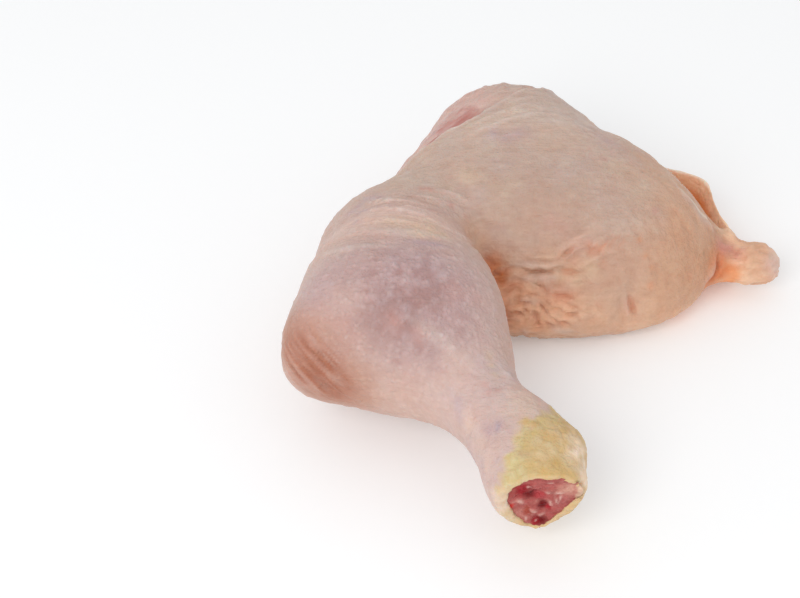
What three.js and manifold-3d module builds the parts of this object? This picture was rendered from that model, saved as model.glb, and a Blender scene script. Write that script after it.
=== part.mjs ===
/**
 * Raw chicken leg: drumstick and thigh in one skin, lying on its inner side.
 *
 * Millimetres, +Z up. The thigh is the broad pillow, the drumstick comes forward from the knee, and
 * the foot has been cut off at the hock. Two solids: the flesh with its skin, and the shin bone with
 * its sinews, which shows at the cut.
 *
 * The flesh is a field: a function of a point, below zero inside the meat and above zero outside.
 * Its forms melt into each other with smooth minimums, and a grid of cells turns the field into facets.
 */
import * as THREE from 'three';
import { mergeVertices } from 'three/addons/utils/BufferGeometryUtils.js';
import Module from 'manifold-3d';

const wasm = await Module();
wasm.setup();

// ---------------------------------------------------------------- driving dimensions

const CELL = 3.2; // side of the grid's cells, and so about the size of a facet
const FLESH_LOW = [-75, -122, -1.5 * CELL]; // the grid's lowest and highest corners
const FLESH_HIGH = [82, 84, 62];
const GAP = 0.3; // clearance between the bone and the flesh round it

// The drumstick, in cross-sections along the line from the knee to the hock. "side" moves a section
// towards the thigh, "height" is its centre's height, and the rest are its four half-widths.
const KNEE = { x: -52, y: 0 };
const HOCK = { x: 1, y: -96 };
const SECTIONS = [
  { along: -14, side: 13, height: 21, away: 10, toThigh: 10, up: 9, down: 13 },
  { along: 4, side: 7, height: 24, away: 17, toThigh: 22, up: 15, down: 22 },
  { along: 24, side: -2, height: 27.5, away: 24.8, toThigh: 28.5, up: 23.5, down: 28.7 },
  { along: 42, side: -6, height: 28, away: 31.5, toThigh: 30.3, up: 26, down: 19.4 },
  { along: 56, side: -4, height: 27, away: 18, toThigh: 24, up: 23, down: 16.5 },
  { along: 67, side: 0, height: 25.5, away: 12, toThigh: 14.8, up: 14.5, down: 13 },
  { along: 78, side: 2, height: 24, away: 10.5, toThigh: 9.2, up: 10.5, down: 11 },
  { along: 88, side: 3.5, height: 22.5, away: 12.8, toThigh: 12.8, up: 11.5, down: 11.8 },
  { along: 98, side: 2, height: 21, away: 13.4, toThigh: 14.8, up: 12, down: 12.6 },
  { along: 107, side: 0, height: 20, away: 11.4, toThigh: 10.6, up: 10.3, down: 11.6 },
  { along: 112, side: -1, height: 20, away: 10.5, toThigh: 6.5, up: 9.5, down: 10.5 },
];
const ROUNDNESS = 2.1; // exponent of a section's outline: 2 is an ellipse, more is squarer
const KNEE_CAP = 16; // how far the drumstick's rounded end reaches behind the knee
const LIMB_STEEPNESS = 0.9; // brings the limb's field near to millimetres

// The cut through the hock: a point on its face, and where the face looks.
const CUT = { at: [-2, -94, 18], facing: [0, -1, -0.21] };
const CUT_RECESS = 0.6; // the bone's end lies this far inside the skin's rim
const SHIN_END = 120; // the uncut limb ends here, past the cut

// The skin is also pared away obliquely under the thigh's side of the hock. The paring's plane lies
// `reach` from the cut's point and looks to the side and down; behind the cut it splays outwards.
const PARING = { side: 0.8, down: 0.6, splay: 0.45, reach: 6, round: 2, skin: 1.5 };

// The thigh, seen from above: the outline of its skin, round a centre.
const THIGH_CENTRE = { x: -4, y: 30 };
const THIGH_OUTLINE = [
  [-48, 2], [-46, 20], [-38.5, 40.5], [-27.5, 58.5], [-12, 72.5], [8, 78], [23.5, 63.5],
  [35, 46.5], [46, 36.5], [52.6, 24.5], [55.6, 17.5], [53, 8.5], [42.5, -5], [22, -13], [-4, -13],
  [-30, -10],
];
const THIGH_RIM = 9; // height of the thigh's widest line above the table
const THIGH_DOME = 37; // from that line to the top
const THIGH_BELLY = 10.6; // from that line down to the underside, before the table presses it flat
// The pillow's squareness over its plan and over its height, above and below the rim. "scale" and
// "root" bring the field near to millimetres.
const DOME_FORM = { plan: 2.6, height: 2, root: 2.2, scale: 22 };
const BELLY_FORM = { plan: 5, height: 2.5, root: 3, scale: 16 };
const HIP_MUSCLE = { at: [-8, 51, 28.5], radii: [20.5, 16, 15.5], turn: 35 }; // bare meat at the hip

// The skin of the back, left on the leg: a fold that stands behind the thigh and leans away from it,
// lower towards the tail, and the web that joins it to the thigh at its foot.
const FOLD_ROUTE = [[31, 49], [40, 52.5], [48, 50], [54, 46], [55.6, 37], [57, 29.5], [61.5, 18]];
const FOLD = { thickness: 3.4, bottom: 0.5, top: 17.2, bevel: 1, lean: 1.6, droop: 0.16, steps: 18 };
const FOLD_WEB = { at: [44, 35, 5], radii: [13, 21, 5.2], turn: 14 };

// The tail end of that skin, a short stalk with a knob, and the edge of the thigh's skin drawn to it.
const TAIL_STALK = { from: [52, 15, 8.5], to: [62, 15, 9], radii: [5, 5.2] };
const TAIL_KNOB = { from: [64, 15, 9.5], to: [67.5, 14.5, 9.5], radii: [5.8, 6.4] };
const TAIL_BRIDGE = { from: [49, 22, 17.5], to: [59, 20.5, 12.5], radii: [4, 3] };

// How softly the forms melt into each other. Between drumstick and thigh the fillet is widest at the
// knee and falls off by a share of the distance from it.
const FILLET = { atKnee: 22, fallsBy: 0.42, least: 3, most: 15, hip: 6, tail: 3, table: 1 };

// Creases pressed into the skin: where each runs, its half-width and its depth.
const CREASES = [
  { path: [[-40, -36, 54], [-31, -31, 53], [-24, -26, 50], [-19, -21, 44]], width: 3, depth: 1 },
  { path: [[-14, -11, 31], [-11, -10, 22], [-7, -12, 10]], width: 3, depth: 1.6 },
  { path: [[-9, -9, 23], [2, -9, 24], [13, -10, 23]], width: 2.6, depth: 1.4 },
  { path: [[2, -3, 34], [9, -5, 32], [16, -7, 29], [22, -8, 27]], width: 2.8, depth: 1 },
  { path: [[-7, -10, 21], [-3, -11, 16], [3, -12, 12], [9, -12, 6]], width: 2.6, depth: 1.2 },
  { path: [[27, -11, 17], [27, -11, 10]], width: 2.6, depth: 1.4 },
];

// Seams between the muscles of the inner side, open at the underside: one beside the thigh bone and
// one across to the tail. They part the flesh that lies on the table into three pads.
const SEAMS = [
  { path: [[-19, -2, 2.5], [-13, 22, 2.5], [-4, 46, 2.5], [2, 70, 3]], width: 5, depth: 13 },
  { path: [[-11, 28, 2.5], [14, 30, 2.5], [38, 31, 2.5]], width: 5, depth: 13 },
];
const PRESSED_FLAT = 0.05; // the least that the table takes off the pads, so that they end in a plane

// The core of bone and sinew: its radii along the drumstick. Towards the hock it lies a little off
// the limb's centre line, and its section is taller than wide and narrows downwards, like a shield.
const BONE_RADII = [
  [12, 0], [13, 5], [16, 8.5], [21, 10.5], [27, 10], [34, 7.5], [46, 5.8], [62, 5.4],
  [76, 5.8], [86, 7.2], [94, 8.6], [101, 9.3], [124, 9.3], [124, 0],
];
const BONE_SIDES = 26;
const BONE_WIDTH = 0.85; // share of its height
const BONE_PINCH = 0.2;
const BONE_SHIFT = { from: 80, to: 104, beside: -1.8, above: -1.7 };

// ---------------------------------------------------------------- small mathematics

const clamp = (value, low, high) => Math.min(Math.max(value, low), high);

/** The smaller of two field values, with a fillet of about `round` millimetres where they meet. */
function smoothMin(a, b, round) {
  const share = clamp(0.5 + (0.5 * (b - a)) / round, 0, 1);
  return b * (1 - share) + a * share - round * share * (1 - share);
}

const smoothMax = (a, b, round) => -smoothMin(-a, -b, round);

/** A smooth curve through (xs[i], ys[i]), held level beyond its ends. */
function curveThrough(xs, ys) {
  const last = xs.length - 1;
  const rise = (i) => (ys[i + 1] - ys[i]) / (xs[i + 1] - xs[i]);
  const slopes = xs.map((x, i) => {
    if (i === 0) return rise(0);
    if (i === last) return rise(last - 1);
    const before = x - xs[i - 1];
    const after = xs[i + 1] - x;
    return (rise(i - 1) * after + rise(i) * before) / (before + after);
  });
  return (x) => {
    const at = clamp(x, xs[0], xs[last]);
    let i = 0;
    while (i < last - 1 && at >= xs[i + 1]) i += 1;
    const span = xs[i + 1] - xs[i];
    const t = (at - xs[i]) / span;
    const s = 1 - t;
    const ends = ys[i] * s * s * (1 + 2 * t) + ys[i + 1] * t * t * (1 + 2 * s);
    return ends + span * t * s * (slopes[i] * s - slopes[i + 1] * t);
  };
}

/** The radius of a closed plan outline as a smooth function of the angle round its centre. */
function radiusByAngle(outline, centre) {
  const spokes = outline.map(([x, y]) => ({
    angle: Math.atan2(y - centre.y, x - centre.x),
    radius: Math.hypot(x - centre.x, y - centre.y),
  }));
  spokes.sort((a, b) => a.angle - b.angle);
  const turned = (list, turn) => list.map((s) => ({ angle: s.angle + turn, radius: s.radius }));
  const ring = [
    ...turned(spokes.slice(-2), -2 * Math.PI),
    ...spokes,
    ...turned(spokes.slice(0, 2), 2 * Math.PI),
  ];
  return curveThrough(ring.map((s) => s.angle), ring.map((s) => s.radius));
}

/** Where along a segment, from 0 to 1, a point lies nearest, and the square of its distance. */
function nearestOnSegment(point, from, to) {
  let run = 0;
  let length = 0;
  for (let axis = 0; axis < from.length; axis += 1) {
    const step = to[axis] - from[axis];
    run += (point[axis] - from[axis]) * step;
    length += step * step;
  }
  const share = clamp(run / length, 0, 1);
  let squared = 0;
  for (let axis = 0; axis < from.length; axis += 1) {
    const off = point[axis] - from[axis] - share * (to[axis] - from[axis]);
    squared += off * off;
  }
  return { share, squared };
}

/** Distance from a point to a polyline, in as many dimensions as its points have. */
function distanceToRoute(point, route) {
  let least = Infinity;
  for (let i = 0; i + 1 < route.length; i += 1) {
    least = Math.min(least, nearestOnSegment(point, route[i], route[i + 1]).squared);
  }
  return Math.sqrt(least);
}

// ---------------------------------------------------------------- the drumstick's own frame

const shinLength = Math.hypot(HOCK.x - KNEE.x, HOCK.y - KNEE.y);
const shinAxis = { x: (HOCK.x - KNEE.x) / shinLength, y: (HOCK.y - KNEE.y) / shinLength };
const shinSide = { x: -shinAxis.y, y: shinAxis.x };

const sectionCurve = (key) => curveThrough(SECTIONS.map((s) => s.along), SECTIONS.map((s) => s[key]));
const section = {
  side: sectionCurve('side'),
  height: sectionCurve('height'),
  away: sectionCurve('away'),
  toThigh: sectionCurve('toThigh'),
  up: sectionCurve('up'),
  down: sectionCurve('down'),
};

/** From distances along, beside and above the drumstick's bent centre line to a place in the part. */
function placeOnShin(along, beside, above) {
  const side = section.side(along) + beside;
  return new THREE.Vector3(
    KNEE.x + shinAxis.x * along + shinSide.x * side,
    KNEE.y + shinAxis.y * along + shinSide.y * side,
    section.height(along) + above,
  );
}

// ---------------------------------------------------------------- the planes of the knife

const cut = { at: new THREE.Vector3(...CUT.at), outward: new THREE.Vector3(...CUT.facing).normalize() };

const paringSlope = new THREE.Vector3(PARING.side, 0, -PARING.down);
const paring = {
  at: cut.at.clone().addScaledVector(paringSlope, PARING.reach),
  outward: paringSlope.clone().addScaledVector(cut.outward, PARING.splay).normalize(),
};
const paringReach = paring.at.dot(paring.outward);
const pastParing = (x, y, z) =>
  paring.outward.x * x + paring.outward.y * y + paring.outward.z * z - paringReach;

// ---------------------------------------------------------------- the forms of the flesh

function drumstick(x, y, z) {
  const along = (x - KNEE.x) * shinAxis.x + (y - KNEE.y) * shinAxis.y;
  const beside = (x - KNEE.x) * shinSide.x + (y - KNEE.y) * shinSide.y - section.side(along);
  const above = z - section.height(along);
  const halfWidth = beside > 0 ? section.toThigh(along) : section.away(along);
  const halfHeight = above > 0 ? section.up(along) : section.down(along);
  const across = Math.abs(beside / halfWidth) ** ROUNDNESS + Math.abs(above / halfHeight) ** ROUNDNESS;
  const reach = Math.hypot(across ** (1 / ROUNDNESS), Math.max(-along / KNEE_CAP, 0));
  const limb = (reach - 1) * Math.min(halfWidth, halfHeight) * LIMB_STEEPNESS;
  return Math.max(smoothMax(limb, pastParing(x, y, z), PARING.round), along - SHIN_END);
}

function ellipsoid({ at, radii, turn }) {
  const cos = Math.cos(THREE.MathUtils.degToRad(turn));
  const sin = Math.sin(THREE.MathUtils.degToRad(turn));
  return (x, y, z) => {
    const dx = x - at[0];
    const dy = y - at[1];
    const u = (dx * cos + dy * sin) / radii[0];
    const v = (dy * cos - dx * sin) / radii[1];
    const w = (z - at[2]) / radii[2];
    const reach = Math.hypot(u, v, w);
    const steepness = Math.hypot(u / radii[0], v / radii[1], w / radii[2]);
    return (reach * (reach - 1)) / Math.max(steepness, 1e-9);
  };
}

function taperedRod({ from, to, radii }) {
  return (x, y, z) => {
    const { share, squared } = nearestOnSegment([x, y, z], from, to);
    return Math.sqrt(squared) - (radii[0] + share * (radii[1] - radii[0]));
  };
}

const thighRadius = radiusByAngle(THIGH_OUTLINE, THIGH_CENTRE);

const pillowHalf = (reach, rise, form) =>
  ((reach ** form.plan + rise ** form.height) ** (1 / form.root) - 1) * form.scale;

/** A domed pillow over the outline, tucked in towards the table below its rim. */
function thighPillow(x, y, z) {
  const dx = x - THIGH_CENTRE.x;
  const dy = y - THIGH_CENTRE.y;
  const reach = Math.hypot(dx, dy) / thighRadius(Math.atan2(dy, dx));
  const above = z - THIGH_RIM;
  if (above > 0) return pillowHalf(reach, above / THIGH_DOME, DOME_FORM);
  return pillowHalf(reach, -above / THIGH_BELLY, BELLY_FORM);
}

const hipMuscle = ellipsoid(HIP_MUSCLE);
const thigh = (x, y, z) => smoothMin(thighPillow(x, y, z), hipMuscle(x, y, z), FILLET.hip);

const foldWeb = ellipsoid(FOLD_WEB);

const tailStalk = taperedRod(TAIL_STALK);
const tailKnob = taperedRod(TAIL_KNOB);
const tailBridge = taperedRod(TAIL_BRIDGE);
const tail = (x, y, z) => {
  const stalk = smoothMin(tailStalk(x, y, z), tailKnob(x, y, z), FILLET.tail);
  return smoothMin(stalk, tailBridge(x, y, z), FILLET.tail);
};

/** How deep the skin's creases and the seams of the underside are pressed in near a point. */
function creaseDepth(x, y, z) {
  let depth = 0;
  for (const crease of [...CREASES, ...SEAMS]) {
    const away = distanceToRoute([x, y, z], crease.path) / crease.width;
    depth += crease.depth * Math.exp(-away * away);
  }
  return depth;
}

function flesh(x, y, z) {
  const fromKnee = Math.hypot(x - KNEE.x, y - KNEE.y);
  const kneeFillet = clamp(FILLET.atKnee - FILLET.fallsBy * fromKnee, FILLET.least, FILLET.most);
  let field = smoothMin(drumstick(x, y, z), thigh(x, y, z), kneeFillet);
  field = smoothMin(field, foldWeb(x, y, z), FILLET.tail);
  field = smoothMin(field, tail(x, y, z), FILLET.tail);
  return smoothMax(field + creaseDepth(x, y, z), -z, FILLET.table);
}

// ---------------------------------------------------------------- from a field to facets

/** Moves a point onto the field's zero surface, along its slope, but never out of its cell. */
function settle(field, point, cellLow) {
  const probe = 0.05;
  const margin = 0.06 * CELL;
  const least = 0.1;
  for (let round = 0; round < 4; round += 1) {
    const value = field(...point);
    const slope = [0, 1, 2].map((axis) => {
      const ahead = [...point];
      ahead[axis] += probe;
      return (field(...ahead) - value) / probe;
    });
    const steep = slope[0] ** 2 + slope[1] ** 2 + slope[2] ** 2;
    for (let axis = 0; axis < 3; axis += 1) {
      const moved = point[axis] - (value * slope[axis]) / Math.max(steep, least);
      point[axis] = clamp(moved, cellLow[axis] + margin, cellLow[axis] + CELL - margin);
    }
  }
}

/**
 * Fills grid points in slots narrower than a cell, until no face of a cell has solid corners on one
 * diagonal and open corners on the other, where two sheets of the surface would share an edge.
 */
function fillNarrowSlots(values, stride) {
  const filled = -0.1;
  let changed = true;
  while (changed) {
    changed = false;
    for (let here = 0; here < values.length; here += 1) {
      for (let axis = 0; axis < 3; axis += 1) {
        const u = stride[axis];
        const v = stride[(axis + 1) % 3];
        if (here + u + v >= values.length) continue;
        const corners = [here, here + u, here + u + v, here + v];
        const [a, b, c, d] = corners.map((corner) => values[corner] < 0);
        if (a !== c || b !== d || a === b) continue;
        const open = a ? [corners[1], corners[3]] : [corners[0], corners[2]];
        const nearer = values[open[0]] < values[open[1]] ? open[0] : open[1];
        values[nearer] = filled;
        changed = true;
      }
    }
  }
}

/**
 * The field's zero surface as a closed mesh: one corner in each cell that it crosses, and two
 * triangles over each grid edge whose ends lie on different sides of it.
 */
function facetsOf(field, low, high) {
  const count = low.map((value, axis) => Math.ceil((high[axis] - value) / CELL) + 1);
  const stride = [1, count[0], count[0] * count[1]];
  const values = new Float64Array(count[0] * count[1] * count[2]);
  const cornerOf = new Int32Array(values.length).fill(-1);
  const points = [];
  const triangles = [];
  const place = (axis, step) => low[axis] + step * CELL;
  const index = (i, j, k) => i * stride[0] + j * stride[1] + k * stride[2];

  for (let k = 0; k < count[2]; k += 1) {
    for (let j = 0; j < count[1]; j += 1) {
      for (let i = 0; i < count[0]; i += 1) {
        values[index(i, j, k)] = field(place(0, i), place(1, j), place(2, k));
      }
    }
  }

  fillNarrowSlots(values, stride);

  const cellEdges = [];
  for (let axis = 0; axis < 3; axis += 1) {
    for (const a of [0, 1]) {
      for (const b of [0, 1]) {
        const start = [0, 0, 0];
        start[(axis + 1) % 3] = a;
        start[(axis + 2) % 3] = b;
        cellEdges.push({ axis, start });
      }
    }
  }

  for (let k = 0; k + 1 < count[2]; k += 1) {
    for (let j = 0; j + 1 < count[1]; j += 1) {
      for (let i = 0; i + 1 < count[0]; i += 1) {
        const sum = [0, 0, 0];
        let crossings = 0;
        for (const { axis, start } of cellEdges) {
          const near = [i + start[0], j + start[1], k + start[2]];
          const first = values[index(...near)];
          const second = values[index(...near) + stride[axis]];
          if (first < 0 === second < 0) continue;
          near[axis] += first / (first - second);
          for (let a = 0; a < 3; a += 1) sum[a] += place(a, near[a]);
          crossings += 1;
        }
        if (crossings === 0) continue;
        const point = sum.map((value) => value / crossings);
        settle(field, point, [place(0, i), place(1, j), place(2, k)]);
        cornerOf[index(i, j, k)] = points.length;
        points.push(point);
      }
    }
  }

  const apart = (a, b) => Math.hypot(...points[a].map((value, axis) => value - points[b][axis]));
  for (let k = 1; k + 1 < count[2]; k += 1) {
    for (let j = 1; j + 1 < count[1]; j += 1) {
      for (let i = 1; i + 1 < count[0]; i += 1) {
        const here = index(i, j, k);
        for (let axis = 0; axis < 3; axis += 1) {
          const inside = values[here] < 0;
          if (inside === values[here + stride[axis]] < 0) continue;
          const u = stride[(axis + 1) % 3];
          const v = stride[(axis + 2) % 3];
          const quad = [here, here - u, here - u - v, here - v].map((cell) => cornerOf[cell]);
          if (!inside) quad.reverse();
          const [a, b, c, d] = quad;
          if (apart(a, c) < apart(b, d)) triangles.push(a, b, c, a, c, d);
          else triangles.push(b, c, d, b, d, a);
        }
      }
    }
  }
  return { points, triangles };
}

// ---------------------------------------------------------------- solids

const solidOf = (vertProperties, triVerts) =>
  new wasm.Manifold(new wasm.Mesh({ numProp: 3, vertProperties, triVerts }));

/** A closed three.js geometry as a solid. */
function solidFromGeometry(geometry) {
  const bare = geometry.clone();
  bare.deleteAttribute('normal');
  bare.deleteAttribute('uv');
  const merged = mergeVertices(bare, 1e-4);
  return solidOf(new Float32Array(merged.attributes.position.array), new Uint32Array(merged.index.array));
}

function geometryFromSolid(solid) {
  const mesh = solid.getMesh();
  const geometry = new THREE.BufferGeometry();
  geometry.setAttribute('position', new THREE.BufferAttribute(new Float32Array(mesh.vertProperties), 3));
  geometry.setIndex(new THREE.BufferAttribute(new Uint32Array(mesh.triVerts), 1));
  geometry.computeVertexNormals();
  return geometry;
}

/** A block whose near face lies in a plane of the knife, moved `inward` into the meat. */
function blockBeyond({ at, outward }, inward) {
  const size = 60;
  const centre = at.clone().addScaledVector(outward, size / 2 - inward);
  const block = new THREE.BoxGeometry(size, size, size);
  block.applyQuaternion(new THREE.Quaternion().setFromUnitVectors(new THREE.Vector3(0, 1, 0), outward));
  block.translate(centre.x, centre.y, centre.z);
  return solidFromGeometry(block);
}

/** The bone and its sinews, grown all round by `grown`: a turned form bent along the drumstick. */
function boneCore(grown) {
  const profile = BONE_RADII.map(([along, radius], i) => {
    const end = i === 0 ? -grown : 0;
    return new THREE.Vector2(radius === 0 ? 0 : radius + grown, along + end);
  });
  const core = new THREE.LatheGeometry(profile, BONE_SIDES);
  const position = core.attributes.position;
  for (let i = 0; i < position.count; i += 1) {
    const along = position.getY(i);
    const above = position.getZ(i);
    const radius = Math.max(Math.hypot(position.getX(i), above), 1);
    const shifted = clamp((along - BONE_SHIFT.from) / (BONE_SHIFT.to - BONE_SHIFT.from), 0, 1);
    const width = BONE_WIDTH * (1 + (BONE_PINCH * above) / radius);
    const beside = -position.getX(i) * width + BONE_SHIFT.beside * shifted;
    const placed = placeOnShin(along, beside, above + BONE_SHIFT.above * shifted);
    position.setXYZ(i, placed.x, placed.y, placed.z);
  }
  return solidFromGeometry(core).subtract(blockBeyond(paring, PARING.skin - grown));
}

/** The standing fold of back skin: a strip along its route, drawn upwards with rounded edges. */
function standingFold() {
  const route = new THREE.CatmullRomCurve3(FOLD_ROUTE.map(([x, y]) => new THREE.Vector3(x, y, 0)));
  const outer = [];
  const inner = [];
  for (let step = 0; step <= FOLD.steps; step += 1) {
    const point = route.getPoint(step / FOLD.steps);
    const tangent = route.getTangent(step / FOLD.steps);
    const across = new THREE.Vector2(-tangent.y, tangent.x).multiplyScalar(FOLD.thickness / 2);
    outer.push(new THREE.Vector2(point.x, point.y).add(across));
    inner.unshift(new THREE.Vector2(point.x, point.y).sub(across));
  }
  const strip = new THREE.ExtrudeGeometry(new THREE.Shape([...outer, ...inner]), {
    depth: FOLD.top - FOLD.bottom - 2 * FOLD.bevel,
    steps: 3,
    bevelThickness: FOLD.bevel,
    bevelSize: FOLD.bevel,
    bevelOffset: -FOLD.bevel,
    bevelSegments: 2,
  });
  strip.translate(0, 0, FOLD.bottom + FOLD.bevel);

  const start = FOLD_ROUTE[0][1];
  const end = FOLD_ROUTE[FOLD_ROUTE.length - 1][1];
  const position = strip.attributes.position;
  for (let i = 0; i < position.count; i += 1) {
    const place = new THREE.Vector3().fromBufferAttribute(position, i);
    const share = clamp((start - place.y) / (start - end), 0, 1);
    const outward = new THREE.Vector3(place.x - THIGH_CENTRE.x, place.y - THIGH_CENTRE.y, 0).normalize();
    const lean = FOLD.lean * (place.z / FOLD.top) ** 2;
    place.addScaledVector(outward, lean);
    place.z *= 1 - FOLD.droop * share;
    position.setXYZ(i, place.x, place.y, place.z);
  }
  return solidFromGeometry(strip);
}

function fleshSolid() {
  const { points, triangles } = facetsOf(flesh, FLESH_LOW, FLESH_HIGH);
  const grown = solidOf(new Float32Array(points.flat()), new Uint32Array(triangles));
  const body = grown.trimByPlane([0, 0, 1], PRESSED_FLAT);
  return body.add(standingFold()).subtract(blockBeyond(cut, 0)).subtract(boneCore(GAP));
}

// ---------------------------------------------------------------- the leg

function namedMesh(name, solid, color, roughness) {
  const material = new THREE.MeshStandardMaterial({ color, roughness, metalness: 0 });
  const mesh = new THREE.Mesh(geometryFromSolid(solid), material);
  mesh.name = name;
  return mesh;
}

const leg = namedMesh('leg', fleshSolid(), '#e3c0aa', 0.5);
const shinBone = namedMesh('shin_bone', boneCore(0).subtract(blockBeyond(cut, CUT_RECESS)), '#c9747a', 0.35);

const chickenLeg = new THREE.Group();
chickenLeg.add(leg, shinBone);

// The origin is on the table, under the middle of the part.
const extent = new THREE.Box3().setFromObject(chickenLeg);
const middle = extent.getCenter(new THREE.Vector3());
chickenLeg.position.set(-middle.x, -middle.y, -extent.min.z);

export default chickenLeg;
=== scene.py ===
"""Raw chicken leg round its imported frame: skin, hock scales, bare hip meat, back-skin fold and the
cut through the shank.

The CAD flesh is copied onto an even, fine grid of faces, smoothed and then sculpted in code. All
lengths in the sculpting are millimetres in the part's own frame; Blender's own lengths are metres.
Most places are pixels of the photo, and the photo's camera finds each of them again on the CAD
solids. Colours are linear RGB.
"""

import bmesh
import bpy
import numpy as np
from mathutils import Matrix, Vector
from mathutils.bvhtree import BVHTree


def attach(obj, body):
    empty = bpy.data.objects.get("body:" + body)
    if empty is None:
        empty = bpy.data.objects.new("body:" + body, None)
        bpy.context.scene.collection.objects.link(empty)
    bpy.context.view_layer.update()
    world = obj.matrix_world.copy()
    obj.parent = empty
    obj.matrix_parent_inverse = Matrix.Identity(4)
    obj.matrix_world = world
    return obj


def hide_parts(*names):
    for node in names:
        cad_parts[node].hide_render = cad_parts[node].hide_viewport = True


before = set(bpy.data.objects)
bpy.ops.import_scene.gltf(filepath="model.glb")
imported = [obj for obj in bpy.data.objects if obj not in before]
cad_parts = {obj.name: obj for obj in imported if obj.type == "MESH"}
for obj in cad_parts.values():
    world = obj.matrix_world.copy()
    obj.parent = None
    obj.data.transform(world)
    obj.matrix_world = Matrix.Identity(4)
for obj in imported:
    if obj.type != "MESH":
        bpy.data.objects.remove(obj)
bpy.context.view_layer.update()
MM = 0.001

# -------------------- noise

# Large numbers that scramble a cell's place and seed into a repeatable number.
SCRAMBLE = (374761393, 668265263, 1440662683)
SCRAMBLE_SEED = 974634777
REMIX = (1274126177, 2246822519)
BITS_32, BITS_24 = 0xFFFFFFFF, 0xFFFFFF


def lattice(i, j, k, seed):
    """A repeatable number from 0 to 1 for each cell of a cubic lattice."""
    h = sum(cell.astype(np.int64) * factor for cell, factor in zip((i, j, k), SCRAMBLE))
    h = (h + seed * SCRAMBLE_SEED) & BITS_32
    h = ((h ^ (h >> 13)) * REMIX[0]) & BITS_32
    h = ((h ^ (h >> 15)) * REMIX[1]) & BITS_32
    return ((h ^ (h >> 16)) & BITS_24) / BITS_24


def noise(p, size, seed=0):
    """Smooth noise from -1 to 1, its cells `size` long: one number, or one for each axis."""
    q = p / np.asarray(size, float) + 0.371 * seed
    cell = np.floor(q).astype(np.int64)
    f = q - cell
    f = f * f * f * (f * (f * 6 - 15) + 10)
    total = np.zeros(len(p))
    for dx in (0, 1):
        for dy in (0, 1):
            for dz in (0, 1):
                weight = np.prod(np.where((dx, dy, dz), f, 1 - f), axis=1)
                total += weight * lattice(cell[:, 0] + dx, cell[:, 1] + dy, cell[:, 2] + dz, seed)
    return total * 2 - 1


def layered(p, size, layers=3, seed=0):
    """Noise with finer noise on top of it, about -1 to 1."""
    total, share, whole = 0, 1.0, 0
    for layer in range(layers):
        total = total + share * noise(p, np.asarray(size, float) / 2**layer, seed + 17 * layer)
        whole += share
        share *= 0.55
    return total / whole * 1.5


def dots(p, size, seed=0):
    """Distance to the nearest of a scatter of points, in cells, and that point's own number."""
    q = p / size
    cell = np.floor(q).astype(np.int64)
    best = np.full(len(p), 9.0)
    own = np.zeros(len(p))
    for dx in (-1, 0, 1):
        for dy in (-1, 0, 1):
            for dz in (-1, 0, 1):
                i, j, k = cell[:, 0] + dx, cell[:, 1] + dy, cell[:, 2] + dz
                point = [part + lattice(i, j, k, seed + 1 + axis) for axis, part in enumerate((i, j, k))]
                away = np.linalg.norm(q - np.stack(point, 1), axis=1)
                closer = away < best
                best = np.where(closer, away, best)
                own = np.where(closer, lattice(i, j, k, seed + 4), own)
    return best, own


def step(x, low, high):
    """0 below `low`, 1 above `high`, smooth between; low may be the greater."""
    t = np.clip((x - low) / (high - low), 0, 1)
    return t * t * (3 - 2 * t)


# -------------------- meshes as arrays

WELD = 1e-6  # points closer than this are one, in metres


def dense_copy(node, name, cell):
    """A copy of a CAD node as an even grid of four-sided faces, `cell` millimetres long."""
    piece = bpy.data.objects.new(name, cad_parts[node].data.copy())
    bpy.context.scene.collection.objects.link(piece)
    welded = bmesh.new()
    welded.from_mesh(piece.data)
    bmesh.ops.remove_doubles(welded, verts=welded.verts, dist=WELD)
    welded.to_mesh(piece.data)
    welded.free()
    grid = piece.modifiers.new("grid", "REMESH")
    grid.mode = "VOXEL"
    grid.voxel_size = cell * MM
    depsgraph = bpy.context.evaluated_depsgraph_get()
    mesh = bpy.data.meshes.new_from_object(piece.evaluated_get(depsgraph))
    piece.modifiers.clear()
    piece.data = mesh
    mesh.name = name
    mesh.materials.clear()
    mesh.shade_smooth()
    return piece


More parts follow.
